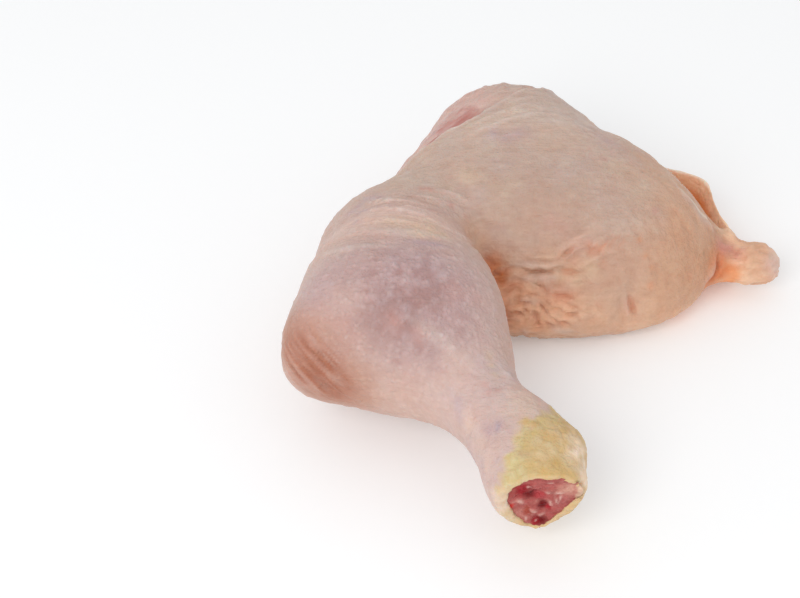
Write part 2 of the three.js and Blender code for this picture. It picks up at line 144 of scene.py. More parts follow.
class Surface:
    """A mesh's points, and what the sculpting needs of its faces."""

    def __init__(self, piece):
        self.mesh = piece.data
        count = len(self.mesh.vertices)
        points = np.empty(count * 3, np.float32)
        self.mesh.vertices.foreach_get("co", points)
        self.at = points.reshape(-1, 3).astype(float) / MM
        edges = np.empty(len(self.mesh.edges) * 2, np.int32)
        self.mesh.edges.foreach_get("vertices", edges)
        self.a, self.b = edges.reshape(-1, 2).T
        self.degree = np.bincount(self.a, minlength=count) + np.bincount(self.b, minlength=count)
        corners = np.empty(len(self.mesh.loops), np.int32)
        self.mesh.loops.foreach_get("vertex_index", corners)
        self.quads = corners.reshape(-1, 4)

    def mean_round(self, values):
        """The mean of each point's neighbours."""
        total = np.bincount(self.a, values[self.b], len(values))
        total += np.bincount(self.b, values[self.a], len(values))
        return total / self.degree

    def relax(self, rounds, strength=0.5):
        for _ in range(rounds):
            mean = np.stack([self.mean_round(self.at[:, axis]) for axis in range(3)], 1)
            self.at += (mean - self.at) * np.reshape(strength, (-1, 1))

    def normals(self):
        q = self.at[self.quads]
        face = np.cross(q[:, 2] - q[:, 0], q[:, 3] - q[:, 1])
        total = np.zeros_like(self.at)
        for corner in range(4):
            for axis in range(3):
                total[:, axis] += np.bincount(self.quads[:, corner], face[:, axis], len(self.at))
        return total / (np.linalg.norm(total, axis=1, keepdims=True) + 1e-12)

    def write(self):
        self.mesh.vertices.foreach_set("co", (self.at * MM).astype(np.float32).ravel())
        self.mesh.update()

    def paint(self, name, colour):
        layer = self.mesh.attributes.new(name, "FLOAT_COLOR", "POINT")
        values = np.ones((len(self.at), 4), np.float32)
        values[:, :3] = colour
        layer.data.foreach_set("color", values.ravel())

    def weigh(self, name, amount):
        layer = self.mesh.attributes.new(name, "FLOAT", "POINT")
        layer.data.foreach_set("value", np.asarray(amount, np.float32))


# -------------------- where things are on the leg

# The drumstick's line in plan, from the knee to the hock, and its cross-sections along it: how far
# along, the middle's shift towards the thigh, its height, and the half-widths away from the thigh,
# towards it, upwards and downwards.
KNEE = np.array((-55.6, 9.2))
HOCK = np.array((-2.6, -86.8))
SHIN = (HOCK - KNEE) / np.linalg.norm(HOCK - KNEE)
ACROSS = np.array([-SHIN[1], SHIN[0]])
LIMB = np.array(
    [
        (-14, 13, 21, 10, 10, 9, 13),
        (4, 7, 24, 17, 22, 15, 22),
        (24, -2, 27.5, 24.8, 28.5, 23.5, 28.7),
        (42, -6, 28, 31.5, 30.3, 26, 19.4),
        (56, -4, 27, 18, 24, 23, 16.5),
        (67, 0, 25.5, 12, 14.8, 14.5, 13),
        (78, 2, 24, 10.5, 9.2, 10.5, 11),
        (88, 3.5, 22.5, 12.8, 12.8, 11.5, 11.8),
        (98, 2, 21, 13.4, 14.8, 12, 12.6),
        (107, 0, 20, 11.4, 10.6, 10.3, 11.6),
        (112, -1, 20, 10.5, 6.5, 9.5, 10.5),
    ]
)

# The thigh's outline in plan, round its middle, and its rim's height, dome and belly.
THIGH_MIDDLE = np.array((-7.6, 39.2))
THIGH_OUTLINE = np.array(
    [
        (-44, -28), (-42, -10), (-34.5, 10.5), (-23.5, 28.5), (-8, 42.5), (12, 48), (27.5, 33.5),
        (39, 16.5), (50, 6.5), (56.6, -5.5), (59.6, -12.5), (57, -21.5), (46.5, -35), (26, -43),
        (0, -43), (-26, -40),
    ]
)
RIM, DOME, BELLY = 9, 37, 10.6

# The cut through the hock: a point on its face, and where the face looks. The core's own face lies
# a little deeper.
CUT_AT = np.array((-5.6, -84.8, 17.9))
CUT_OUT = np.array([0, -1, -0.21]) / np.hypot(1, 0.21)
CUT_UP = np.cross([-1, 0, 0], CUT_OUT)
CORE_SET_BACK = 0.6

# The photo's camera looks at a point on the table. The photo's size is in pixels.
PHOTO_WIDTH, PHOTO_HEIGHT = 800, 598
SENSOR, FOCAL = 36, 86.9
FOCAL_PIXELS = FOCAL / SENSOR * PHOTO_WIDTH
ELEVATION = np.radians(38.0)
DISTANCE = 560
AIM = np.array((-39.61, 19.18, 0))
AHEAD = np.array((0, np.cos(ELEVATION), -np.sin(ELEVATION)))
UPWARD = np.array((0, np.sin(ELEVATION), np.cos(ELEVATION)))
EYE = AIM - DISTANCE * AHEAD


def solid_faces():
    """The faces of the CAD solids, in millimetres, for rays to meet."""
    points, faces = [], []
    for node in ("leg", "shin_bone"):
        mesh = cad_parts[node].data
        first = len(points)
        points += [vertex.co / MM for vertex in mesh.vertices]
        faces += [[first + corner for corner in face.vertices] for face in mesh.polygons]
    return BVHTree.FromPolygons(points, faces)


SOLIDS = solid_faces()


def sight(pixel):
    """The direction in which the camera sees a pixel of the photo."""
    right = (pixel[0] - PHOTO_WIDTH / 2) / FOCAL_PIXELS
    down = (pixel[1] - PHOTO_HEIGHT / 2) / FOCAL_PIXELS
    return AHEAD + right * np.array((1, 0, 0)) - down * UPWARD


def seen(pixels):
    """The points of the CAD solids that show at pixels of the photo."""
    return np.array([SOLIDS.ray_cast(Vector(EYE), Vector(sight(pixel)))[0] for pixel in pixels])


def on_cut(pixels):
    """Where pixels of the photo lie on the core's face: how far right of CUT_AT, and how far up."""
    places = []
    for pixel in pixels:
        way = sight(pixel)
        reach = ((CUT_AT - EYE) @ CUT_OUT - CORE_SET_BACK) / (way @ CUT_OUT)
        away = EYE + reach * way - CUT_AT
        places.append((away[0], away @ CUT_UP))
    return np.array(places)


def on_limb(p):
    """How far along the drumstick each point is, its share of the way out to the skin, and its turn."""
    flat = p[:, :2] - KNEE
    along = flat @ SHIN
    side, height, away, near, up, down = (np.interp(along, LIMB[:, 0], column) for column in LIMB.T[1:])
    a, b = flat @ ACROSS - side, p[:, 2] - height
    reach = np.hypot(a / np.where(a > 0, near, away), b / np.where(b > 0, up, down))
    return along, reach, np.arctan2(b, a)


def on_thigh(p):
    """Each point's share of the way from the thigh's middle out to its skin, and its turn in plan."""
    flat = p[:, :2] - THIGH_MIDDLE
    turns = np.arctan2(THIGH_OUTLINE[:, 1], THIGH_OUTLINE[:, 0])
    order = np.argsort(turns)
    turn = np.arctan2(flat[:, 1], flat[:, 0])
    edge = np.interp(turn, turns[order], np.hypot(*THIGH_OUTLINE[order].T), period=2 * np.pi)
    plan = np.hypot(*flat.T) / edge
    rise = np.where(p[:, 2] > RIM, (p[:, 2] - RIM) / DOME, (RIM - p[:, 2]) / BELLY)
    return np.hypot(plan, rise), turn


def curve(knots, parts=8):
    """A smooth line through the knots, as many short straight parts."""
    knots = np.asarray(knots, float)
    padded = np.vstack([2 * knots[0] - knots[1], knots, 2 * knots[-1] - knots[-2]])
    out = []
    for i in range(1, len(padded) - 2):
        before, start, end, after = padded[i - 1 : i + 3]
        for t in np.linspace(0, 1, parts, endpoint=False):
            square = (2 * before - 5 * start + 4 * end - after) * t**2
            cube = (3 * start - before - 3 * end + after) * t**3
            out.append(0.5 * (2 * start + (end - before) * t + square + cube))
    out.append(knots[-1])
    return np.array(out)


def trace(p, knots, reach):
    """The points within reach of a smooth line, their distances to it, and how far along it they are."""
    line = curve(knots)
    close = np.nonzero(np.all((p > line.min(0) - reach) & (p < line.max(0) + reach), axis=1))[0]
    q = p[close]
    best, share = np.full(len(q), 1e9), np.zeros(len(q))
    lengths = np.linalg.norm(np.diff(line, axis=0), axis=1)
    done = 0.0
    for start, end, length in zip(line[:-1], line[1:], lengths):
        t = np.clip((q - start) @ (end - start) / (length**2 + 1e-12), 0, 1)
        away = np.linalg.norm(q - start - t[:, None] * (end - start), axis=1)
        share = np.where(away < best, (done + t * length) / lengths.sum(), share)
        best = np.minimum(best, away)
        done += length
    keep = best < reach
    return close[keep], best[keep], share[keep]


def stroke(p, knots, width, ends=0.4):
    """1 along a smooth line, falling to 0 about two widths away; the line thins towards its ends."""
    made = np.zeros(len(p))
    index, away, share = trace(p, knots, width * 2.6)
    fade = step(np.minimum(share, 1 - share), -0.04, ends)
    made[index] = np.exp(-((away / (width * (0.4 + 0.6 * fade))) ** 2)) * fade
    return made


def stripes(p, knots, reach, gap, seed, ends=0.2):
    """Fine lines alongside a smooth line and out to `reach` from it, `gap` apart: -1 to 1."""
    index, away, share = trace(p, knots, reach)
    beside = np.column_stack([away / gap, share * 3, np.zeros(len(away))])
    made = np.zeros(len(p))
    made[index] = noise(beside, 1, seed) * step(away, reach, 0.5 * reach)
    made[index] *= step(np.minimum(share, 1 - share), -0.02, ends)
    return made


def spot(p, place, radii, power=2):
    """1 at a place, falling to 0 round it: one radius, or one for each axis."""
    away = np.linalg.norm((p - np.asarray(place)) / np.asarray(radii, float), axis=1)
    return np.exp(-(away**power))


def spot_at(p, pixel, radii, power=2):
    """A spot round the place that shows at a pixel of the photo."""
    return spot(p, seen([pixel])[0], radii, power)


def spots_at(p, pixels, radii, power=2):
    """The greatest of round spots at pixels of the photo: one radius, or one for each."""
    radii = np.broadcast_to(radii, len(pixels))
    return np.max([spot(p, *each, power) for each in zip(seen(pixels), radii)], axis=0)


# -------------------- the flesh: forms and folds

FLESH_CELL = 0.65
flesh = dense_copy("leg", "leg_skin", FLESH_CELL)
skin = Surface(flesh)

# The facets are smoothed away, but less so at the cut, whose rim stays crisp.
SMOOTHING_ROUNDS = 26
from_cut = (CUT_AT - skin.at) @ CUT_OUT
skin.relax(SMOOTHING_ROUNDS, 0.5 * step(from_cut, -1, 4) + 0.05)

# The cut end hangs a little lower at its paring than the plain planes of the solid.
PARING = (-0.6, -84.8, 8.9)
PARING_SAG = np.array([0.4, 0, -1.1])


def sag(p):
    """How far each point moves where the cut end sags."""
    return spot(p, PARING, (10, 7, 8), 3)[:, None] * PARING_SAG


def from_core(p):
    """The direction straight away from the core's middle line, and the distance from it."""
    out = p - CUT_AT
    out = out - (out @ CUT_OUT)[:, None] * CUT_OUT
    away = np.linalg.norm(out, axis=1)
    return out / (away[:, None] + 1e-6), away


# The skin's outside swells a little beside the paring.
SWELLING_AT, SWELLING = (579, 494.2), 1.3
skin.at += sag(skin.at)
outwards, _ = from_core(skin.at)
facing = np.clip(3 * (skin.normals() * outwards).sum(1), 0, 1)
skin.at += outwards * (SWELLING * facing * spot_at(skin.at, SWELLING_AT, (7, 6, 9), 3))[:, None]

# The standing fold of back skin: its line in plan. It thins towards its rim.
FOLD_LINE = [(27.4, 58.2), (36.4, 61.7), (44.4, 59.2), (50.4, 55.2), (52, 46.2), (53.4, 38.7), (57.9, 27.2)]
FOLD_TOP, FOLD_LEAN, FOLD_REACH, FOLD_THINNED = 17.2, 1.6, 3.2, 0.62


def thin_fold():
    """Draws both faces of the back-skin fold towards its middle line."""
    p = skin.at
    reach, _ = on_thigh(p)
    outward = p[:, :2] - THIGH_MIDDLE
    outward = outward / np.linalg.norm(outward, axis=1, keepdims=True)
    upright = p[:, :2] - outward * (FOLD_LEAN * (p[:, 2:3] / FOLD_TOP) ** 2)
    flat = np.column_stack([upright, np.zeros(len(p))])
    line = [(x, y, 0) for x, y in FOLD_LINE]
    index, away, share = trace(flat, line, FOLD_REACH)
    knots = curve(line)
    nearest = np.argmin(np.linalg.norm(flat[index, None, :] - knots[None], axis=2), axis=1)
    offset = flat[index, :2] - knots[nearest, :2]
    amount = FOLD_THINNED * step(p[index, 2], 6, 15) * step(share, 0.1, 0.3) * step(share, 1.0, 0.86)
    amount *= step(reach[index], 1.0, 1.1)
    skin.at[index, :2] -= offset * amount[:, None]


thin_fold()

along, limb_reach, limb_turn = on_limb(skin.at)
thigh_reach, thigh_turn = on_thigh(skin.at)
limb = step(thigh_reach - limb_reach, -0.1, 0.1)
limb_soft = step(thigh_reach - limb_reach, -0.35, 0.35)

# Bare meat at the hip: everything past a slanting plane, whose edge wanders a little.
place = skin.at
HIP_PLANE = np.array([-0.626, 0.715, 0.312])
HIP_PLANE_AT, HIP_EDGE_WANDERS = 60.3, 1.1
past_edge = place @ HIP_PLANE - HIP_PLANE_AT + HIP_EDGE_WANDERS * layered(place, 8, 3, 5)
meat = step(past_edge, -0.3, 0.6) * step(limb, 0.6, 0.1)

# Creases: the line, its half-width, its depth, and how far its colour goes towards raw orange darkened by
# painted shade.
# Two of them run down out of the camera's sight, so their lines are points and not pixels.
DEEP_CREASES = [
    ([(-20.5, -11.8, 41.6), (-18.3, -15.2, 41.4), (-16.8, -10.2, 32.9),
      (-15.3, -2.2, 25.9)], 1.5, 1.6, 0.9),
    ([(-12.6, 1, 19.8), (-11.8, -0.7, 13.9), (-10.3, -2.2, 7.9), (-8.8, -2.2, 2.9)], 1.6, 1.4, 0.9),
]
CREASES = [
    ([(478, 252), (482, 258), (489, 267.2)], 1, 1.6, 1),
    ([(484, 255), (490, 262), (497, 270)], 0.65, 1.2, 0.8),
    ([(490, 268), (495, 272), (502, 276)], 0.9, 1.5, 1),
    ([(497, 267), (510, 269), (522, 269)], 0.65, 0.9, 0.4),
    ([(508, 271), (522, 272), (538, 272.5), (552, 271.5), (562, 270.5)], 0.8, 1.6, 0.3),
    ([(556, 270.5), (566, 272), (575, 273), (582, 272.5)], 0.7, 1.2, 0.75),
    ([(554, 263), (560, 258), (567, 252.5), (574, 247.5), (581, 249)], 0.75, 1.6, 0.45),
    ([(583, 251), (575, 257), (568, 262), (563, 267)], 0.75, 1.1, 0.3),
    ([(613, 238), (606, 244), (599, 251), (593, 259)], 0.7, 1.1, 0.8),
    ([(606, 240), (600, 246), (594, 252), (588, 261)], 0.65, 0.9, 0.6),
    ([(600, 240), (596, 245), (591, 251), (585, 258)], 0.65, 0.8, 0.7),
    ([(592, 241), (589, 245), (586, 250)], 0.65, 0.8, 0.6),
    ([(621, 232), (616, 238), (610, 246), (602, 256)], 0.7, 0.8, 0.45),
    ([(627, 236), (621, 244), (614, 252)], 0.65, 0.6, 0.35),
    ([(608, 256), (603, 262), (597, 268)], 0.65, 0.6, 0.35),
    ([(502, 294), (506, 288), (512, 284.5), (520, 283), (528, 284)], 0.75, 1.6, 0.8),
    ([(505, 296), (510, 290), (517, 287.5), (525, 287.5), (534, 290)], 0.65, 1.2, 0.55),
    ([(530, 283), (537, 285), (544, 289), (549, 294), (552, 300)], 0.75, 1.5, 0.5),
    ([(545, 293), (554, 295), (563, 296.5), (572, 299), (580, 304)], 0.8, 1.5, 1),
    ([(556, 301), (565, 303), (574, 307), (582, 311)], 0.65, 1, 0.6),
    ([(524, 296), (532, 295), (541, 297.5)], 0.65, 1.3, 0.55),
    ([(520, 303), (527, 301), (535, 304)], 0.65, 1.1, 0.6),
    ([(535, 299), (540, 305), (545, 311), (552, 318)], 0.75, 1.6, 0.6),
    ([(549, 316), (557, 321), (565, 324.5), (573, 327)], 0.75, 1.3, 0.9),
    ([(530, 306), (534, 313), (537, 320), (543, 331)], 0.75, 1.5, 0.9),
    ([(506, 316), (514, 319), (522, 322.5), (532, 329)], 0.85, 1.5, 1),
    ([(504, 306), (511, 304.5), (518, 303), (524, 300)], 0.65, 1.2, 0.6),
    ([(509, 312), (517, 312), (524, 315), (529, 320)], 0.65, 1.2, 0.7),
    ([(519, 308), (526, 310), (531, 316)], 0.6, 0.9, 0.5),
    ([(541, 316), (548, 323), (556, 329)], 0.65, 1, 0.6),
    ([(558, 309), (567, 313), (576, 318), (584, 321)], 0.65, 0.8, 0.4),
    ([(590, 300), (598, 306), (604, 314)], 0.7, 0.5, 0.3),
    ([(627, 290), (629, 298), (631, 306), (633, 314), (632, 320)], 0.8, 2, 1),
    ([(652, 278), (651, 286), (649, 295)], 0.7, 0.4, 0.5),
    ([(688, 270), (690, 277), (689, 284)], 0.7, 0.4, 0.4),
    ([(676, 236), (678, 246), (677, 256)], 0.8, 0.3, 0.2),
    ([(721, 250), (719, 259), (716, 270), (711, 281), (708, 286)], 1.1, 3, 1),
    ([(722, 247), (729, 249), (738, 253), (744, 258)], 0.7, 0.8, 0.5),
    ([(724, 253), (731, 255), (738, 259)], 0.6, 0.6, 0.4),
    ([(732, 234), (737, 237), (743, 242)], 1, 0.9, 0.9),
    ([(752, 248), (760, 249), (768, 251), (774, 254)], 0.8, 0.6, 0.5),
    ([(737, 262), (742, 258), (748, 257)], 0.8, 0.5, 0.5),
    ([(310, 375), (321, 384), (334, 393), (350, 400), (362, 404)], 0.9, 0.9, 0.55),
    ([(306, 366), (316, 377), (328, 387), (342, 395)], 0.8, 0.6, 0.35),
    ([(530, 418), (538, 421), (547, 426)], 0.7, 0.6, 0.2),
    ([(524, 410), (534, 413), (545, 418)], 0.6, 0.3, 0.05),
    ([(508, 381), (503, 384), (495, 386), (488, 385)], 1.1, 0.8, 0.15),
    ([(453, 262), (462, 256), (470, 254)], 0.9, 0.3, 0.1),
]

# Low ridges: the line, its half-width and its height.
RIDGES = [
    ([(448, 138), (468, 128), (490, 117), (512, 109), (532, 104), (556, 106)], 0.9, 0.6),
    ([(456, 142), (478, 132), (500, 123), (524, 116), (548, 114), (572, 119)], 0.9, 0.5),
    ([(500, 105), (520, 99), (545, 97)], 0.9, 0.3),
    ([(520, 128), (546, 122), (570, 124), (592, 131), (610, 142)], 0.9, 0.25),
    ([(352, 207), (370, 203), (392, 201), (414, 203), (432, 208)], 0.9, 0.75),
    ([(346, 217), (366, 212), (390, 210), (412, 213), (436, 221), (452, 231)], 1, 0.85),
    ([(338, 229), (356, 222), (380, 219), (404, 221), (428, 228), (446, 238)], 1, 0.7),
    ([(330, 243), (348, 236), (370, 231), (392, 231)], 1, 0.6),
    ([(400, 196), (420, 197), (440, 201), (458, 210), (470, 222)], 0.9, 0.7),
    ([(424, 190), (444, 192), (462, 199), (474, 212)], 0.9, 0.6),
    ([(448, 229), (462, 236), (474, 245), (480, 253)], 1, 0.45),
    ([(312, 262), (334, 252), (360, 247), (388, 247), (416, 250)], 1.1, 0.3),
    ([(505, 278), (525, 278), (545, 277), (565, 277)], 1.1, 0.8),
    ([(505, 264), (525, 264), (545, 265), (560, 263)], 1.1, 0.5),
    ([(362, 233), (380, 231), (400, 232), (420, 234), (440, 238), (458, 246)], 1.8, 0.35),
    ([(404, 314), (423, 327), (441, 340), (457, 356), (480, 367)], 2.4, 0.5),
    ([(512, 299), (530, 300), (548, 304)], 1, 0.7),
    ([(545, 322), (560, 329), (580, 332)], 1.3, 0.8),
    ([(518, 329), (532, 334)], 1.2, 0.8),
    ([(624, 292), (626, 300), (627, 308), (628, 318)], 1.2, 0.6),
    ([(666, 174), (680, 191), (692, 206), (702, 220), (714, 231), (724, 240)], 1.1, 0.7),
    ([(716, 250), (714, 259), (711, 271), (706, 281), (699, 290)], 1.2, 0.9),
    ([(509, 371), (507, 377), (503, 381)], 1.6, 0.6),
]

crease_raw_and_shade = np.zeros(len(place))
ridge_highlight = np.zeros(len(place))
push = np.zeros(len(place))
for knots, width, depth, colour in DEEP_CREASES + [(seen(pixels), *rest) for pixels, *rest in CREASES]:
    line = stroke(place, knots, width)
    wide = stroke(place, knots, width * 2.2)
    push -= 0.6 * depth * (1.5 * line - 0.5 * wide)
    crease_raw_and_shade = np.maximum(crease_raw_and_shade, colour * np.maximum(line, 0.55 * wide))
for pixels, width, height in RIDGES:
    line = stroke(place, seen(pixels), width)
    push += height * line
    ridge_highlight = np.maximum(ridge_highlight, line)

# The skin's cut edge at the hip stands above the bare meat, whose muscle lies in bundles along it.
MEAT_SUNK, MEAT_EDGE, BUNDLE = 0.7, 0.35, 0.7
HIP_HOLLOW_AT, HIP_HOLLOW = (452, 108), 1.1
push -= MEAT_SUNK * meat
push -= HIP_HOLLOW * spot_at(place, HIP_HOLLOW_AT, (17, 12, 14), 2.5)
push += MEAT_EDGE * np.exp(-(((past_edge + 1.0) / 0.9) ** 2)) * step(limb, 0.5, 0.1)
grain = np.column_stack([place @ HIP_PLANE, place @ [0.16, 0.11, -0.05], place[:, 2] * 0.1])
bundles = layered(grain, (2.6, 1.2, 1.2), 3, 21)
push += BUNDLE * meat * bundles

CALF_LINE = [(288, 338), (298, 356), (314, 374), (338, 396)]

# Fine lines that follow a fold or an edge: the line, how far out they go, their spacing and height.
LINES = [
    ([(430, 143), (442, 137), (458, 128), (472, 119), (490, 110), (510, 102), (535, 99), (560, 108),
      (590, 128), (620, 150)], 13, 1.25, 0.17),
    ([(437, 247), (446, 249), (455, 253), (464, 260)], 5.5, 0.75, 0.2),
    ([(360, 208), (385, 202), (410, 201), (430, 205), (450, 214)], 6, 0.9, 0.26),
    ([(345, 226), (370, 219), (400, 218), (435, 225), (470, 242)], 7, 1, 0.24),
    (CALF_LINE, 11, 0.8, 0.2),
    ([(507, 383), (497, 376), (480, 365), (462, 352)], 6, 0.9, 0.15),
    ([(500, 283), (530, 287), (560, 300), (585, 310)], 8, 1.3, 0.2),
    ([(508, 262), (530, 262), (560, 260), (590, 246), (610, 232)], 7, 1.2, 0.2),
    ([(585, 240), (600, 236), (615, 226)], 6, 1, 0.16),
    ([(668, 174), (682, 191), (694, 206), (706, 222), (718, 236)], 9, 1.2, 0.1),
]
LINES_SEED = 55
lines = np.zeros(len(place))
for i, (pixels, reach, gap, height) in enumerate(LINES):
    lines += height * stripes(place, seen(pixels), reach, gap, LINES_SEED + i)
push += lines * (1 - 0.5 * meat)

# The top of the hock is hollow.
HOCK_HOLLOW_AT, HOCK_HOLLOW = (561, 411), 1.5
push -= HOCK_HOLLOW * spot_at(place, HOCK_HOLLOW_AT, (8, 6, 8), 2.5)
skin.at += skin.normals() * push[:, None]

# Relief without a place of its own: gentle unevenness, crumpled loose skin, grooves down the thigh's
# side, creep lines across it, pimples on the drumstick and flat scales on the hock.
place = skin.at.copy()
cross = 1 - meat
uneven = layered(place, 12, 2, 31)
lumps = layered(place, 4.6, 2, 37)
bend = place + 1.5 * np.stack([noise(place, 6, seed) for seed in (41, 42, 43)], 1)
loose = step(place[:, 2], 36, 24) * step(place[:, 0], 22, 4) * step(place[:, 1], 10, 3) * (1 - limb)
loose *= step(place[:, 1], -9, -5)
folds = 1 - 2.4 * np.abs(layered(bend, (4.6, 3.2, 2.0), 2, 44)) ** 0.8
groove_axes = np.column_stack([thigh_turn * 40, place[:, 2] * 0.09, thigh_reach * 2])
grooves = noise(groove_axes, (1.7, 1, 1), 51) + 0.7 * noise(groove_axes, (1.0, 1, 1), 52)
right = (1 - limb) * step(place[:, 0], 6, 22) * step(place[:, 2], 43, 33)
creep = layered(bend, (7, 1.5, 1.3), 2, 53)
creep_side = layered(bend, (1.4, 1.6, 6), 2, 54)
away, own = dots(place, 2.9, 61)
pimple = np.exp(-((away / (0.2 + 0.09 * own)) ** 2)) * step(own, 0.15, 0.5)
MUSCLE_AT = (408, 302)
muscle = spot_at(place, MUSCLE_AT, (21, 21, 17), 2.8) * limb
shank = limb * step(along, 66, 76)
bumpy = (0.25 + 0.4 * limb + 0.5 * muscle) * (1 - 0.7 * shank)

# The hock's yellow skin: its border over the limb, and its scales in rows round it.
yellow_from = 83.5 + 6.5 * np.abs(limb_turn)
border = along - yellow_from + 2.5 * layered(place, 3.4, 3, 81)
yellow = step(border, -1.6, 2.4) * limb
scale_axes = np.column_stack([along * 0.36, limb_turn * 3.3, limb_reach * 0])
scale_away, _ = dots(scale_axes + 0.12 * layered(place, 3, 2, 82)[:, None], 1.0, 83)
scales = step(scale_away, 0.75, 0.35) * yellow

# How high each kind of relief stands.
UNEVEN, LUMPS, FOLDS, TAIL_LUMPS, TAIL_FOLDS = 0.30, 0.15, 0.42, 0.55, 0.25
GROOVES, CREEP, CREEP_SIDE, PIMPLES, SCALES, HOCK_WRINKLES = 0.16, 0.10, 0.05, 0.38, 0.12, 0.14
fine = UNEVEN * uneven + LUMPS * lumps * cross
fine += FOLDS * loose * folds
tail = step(place[:, 0], 54, 60) * (1 - limb)
fine += tail * (TAIL_LUMPS * layered(place, 3.4, 2, 95) + TAIL_FOLDS * folds)
fine += GROOVES * right * grooves * cross
fine += CREEP * creep * (1 - 0.6 * limb) * cross * step(right, 1, 0.3)
fine += CREEP_SIDE * creep_side * limb * (1 - yellow)
fine += PIMPLES * pimple * bumpy * cross
fine += SCALES * scales
fine += HOCK_WRINKLES * yellow * (1 - 2 * np.abs(layered(bend, (2.2, 1.6, 1.0), 2, 57)))
skin.at += skin.normals() * fine[:, None]
skin.at[:, 2] = np.maximum(skin.at[:, 2], 0)
skin.write()

# -------------------- the flesh: colours

place = skin.at
BEIGE = (0.565, 0.41, 0.33)
TAWNY = (0.54, 0.372, 0.29)
PEACH = (0.61, 0.345, 0.215)
TABLE_BOUNCE_APRICOT = (0.72, 0.43, 0.27)
FAT = (0.62, 0.44, 0.318)
PINK = (0.6, 0.41, 0.34)
ROSE = (0.56, 0.3, 0.25)
LAVENDER = (0.5, 0.345, 0.345)
MAUVE = (0.385, 0.21, 0.185)
RAW = (0.72, 0.27, 0.11)
RUST_AND_SHADE = (0.36, 0.125, 0.068)
YELLOW = (0.63, 0.44, 0.195)
LIME = (0.62, 0.51, 0.27)
CREAM = (0.7, 0.54, 0.36)
MEAT = (0.66, 0.44, 0.375)
MEAT_DARK = (0.47, 0.15, 0.115)
SHEER_SKIN_AND_HIGHLIGHT = (0.7, 0.56, 0.49)
COOL_BEIGE = (0.53, 0.372, 0.325)
WARM_BEIGE = (0.625, 0.465, 0.35)
SHANK_PINK = (0.615, 0.445, 0.395)
HOCK_ORANGE = (0.69, 0.46, 0.29)
MEAT_RED = (0.5, 0.195, 0.16)
FOLD_PEACH_GLOW = (0.94, 0.6, 0.385)
FOLD_SHADE_ORANGE = (0.82, 0.31, 0.115)
FOLD_RIM_HIGHLIGHT = (0.95, 0.8, 0.68)
TAIL_TAN = (0.7, 0.41, 0.262)
TAIL_PALE = (0.78, 0.51, 0.34)
TAIL_TIP = (0.8, 0.59, 0.51)
DEEP_SHADE_ORANGE = (0.61, 0.19, 0.06)
CALF_BROWN_AND_SHADE = (0.47, 0.235, 0.155)
CUT_RIM = (0.76, 0.56, 0.38)
HIP_PALE = (0.74, 0.61, 0.53)
FLAP_PALE = (0.84, 0.68, 0.56)
CREASE_SHADE_ORANGE = (0.65, 0.27, 0.155)

tone = np.tile(np.array(BEIGE), (len(place), 1))


def tint(colour, amount):
    """Lays a colour over the tone by an amount from 0 to 1 at each point."""
    global tone
    amount = np.clip(amount, 0, 1)[:, None]
    tone = tone * (1 - amount) + np.asarray(colour) * amount


def vary(amount, red, green, blue):
    """Makes the tone stronger or weaker in each primary, in step with an amount of -1 to 1."""
    global tone
    tone = tone * (1 + np.asarray(amount)[:, None] * np.array([red, green, blue]))


blotch = layered(place, 14, 3, 71)
mottle = layered(place, 5.5, 3, 72)
speck = layered(place, 2.2, 2, 73)
x, y, z = place.T
thigh = 1 - limb_soft

# The thigh: pale beige on top, peach down its sides and towards the tail.
THIGH_TAWNY, THIGH_PALE, THIGH_DULL = (530, 185), (515, 122), (530, 182)
tint(TAWNY, spot_at(place, THIGH_TAWNY, (26, 18, 16)) * 0.8)
tint(PEACH, step(z, 42, 22) * thigh)
tint(PEACH, step(x, 12, 42) * thigh * 0.85)
# Painted light: the thigh lighter apricot low down, as if lit by light bounced up from the table.
tint(TABLE_BOUNCE_APRICOT, step(z, 12, 3) * thigh * step(x, -8, 8))
tint(TAWNY, step(z, 44, 34) * step(x, 40, 20) * step(y, 30, 20) * thigh * 0.45)

vary(spot_at(place, THIGH_PALE, (30, 13, 16), 3) * thigh, 0.085, 0.09, 0.08)
vary(spot_at(place, THIGH_DULL, (26, 14, 16), 3) * thigh, -0.03, -0.05, -0.06)

cool = step(layered(place, 9, 3, 74), 0.0, 0.9) * step(z, 26, 38) * thigh
warm = step(layered(place, 7, 3, 75), 0.1, 1.0) * step(z, 20, 32) * thigh
tint(COOL_BEIGE, cool * 0.4)
tint(WARM_BEIGE, warm * 0.5)

# The drumstick: pale pink skin with dark muscle showing through its middle.
MUSCLE_END, UNDER_MUSCLE, KNEE_PALE, HOCK_PALE = (330, 300), (392, 326), (390, 214), (525, 403)
tint(PINK, limb_soft)
tint(LAVENDER, np.maximum(muscle, 0.75 * spot_at(place, MUSCLE_END, 13, 3) * limb) * 0.85)
muscle_patch = step(0.8 * mottle + 0.9 * speck + 0.5 * muscle, -0.4, 1.1)
tint(MAUVE, muscle * (0.10 + 0.70 * muscle_patch))

# The shank's pale lavender pink, and the yellow scaly skin over the hock.
tint(SHANK_PINK, shank * 0.7)
tint(LAVENDER, shank * 0.5 * step(mottle, 0.0, 0.9))
vary(spot_at(place, UNDER_MUSCLE, (12, 9, 9), 3) * limb, -0.14, -0.15, -0.16)
vary(spot_at(place, KNEE_PALE, (26, 11, 11), 3), 0.17, 0.155, 0.14)
vary(spot_at(place, HOCK_PALE, (6, 7, 7), 3) * limb, 0.09, 0.14, 0.08)
tint(YELLOW, yellow)
tint(CREAM, yellow * (1 - scales) * 0.4)
tint(LIME, yellow * step(border, 8, 1.5) * 0.6)
tint(HOCK_ORANGE, yellow * step(mottle - 0.4 * speck, 0.15, 1.0) * 0.4)
vary(yellow * (scales - 0.5), -0.02, -0.03, -0.06)
vary(yellow * speck, 0.03, 0.04, 0.10)

